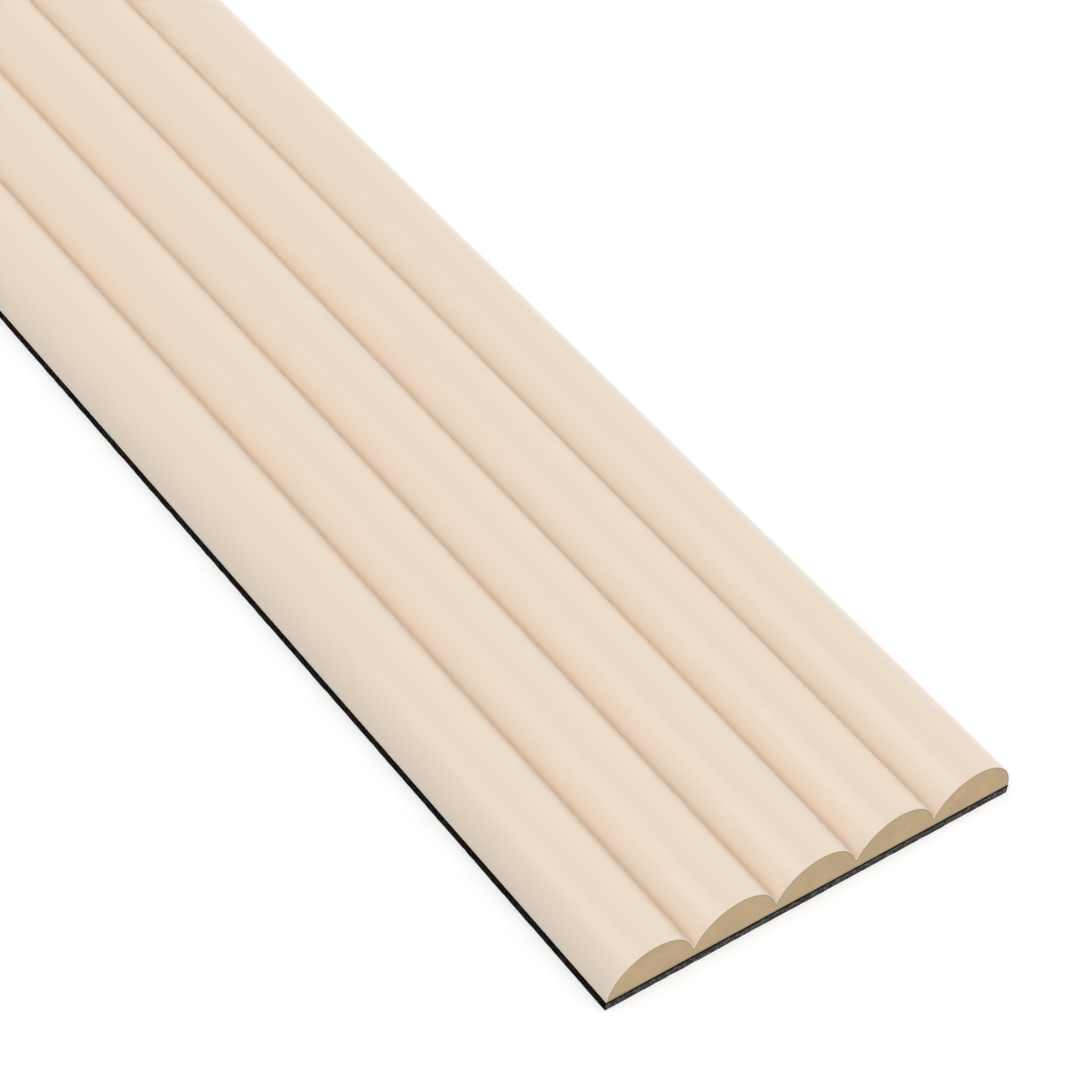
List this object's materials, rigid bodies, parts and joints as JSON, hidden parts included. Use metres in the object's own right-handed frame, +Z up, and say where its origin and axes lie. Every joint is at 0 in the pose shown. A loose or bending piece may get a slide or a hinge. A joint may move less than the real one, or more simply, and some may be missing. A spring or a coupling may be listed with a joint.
{
  "type": "fluted wall panel",
  "caption": "Long wall panel with parallel half-round flutes, moulded in fibreboard with a cream coat, bare at its cut ends and backed with thin black felt.",
  "frame": {"origin": "on the floor under the middle of the panel as it lies flat on its felt, flutes up", "axes": "+X across the flutes, +Y along them, +Z up out of the fluted face; the cut end that the picture shows is at -Y"},
  "size_m": [0.122, 2.65, 0.0148],
  "materials": {
    "coated_fibreboard": "satin",
    "felt": "matte"
  },
  "bodies": {
    "root": {"fluted_board": "coated_fibreboard", "felt_backing": "felt"}
  },
  "joints": []
}
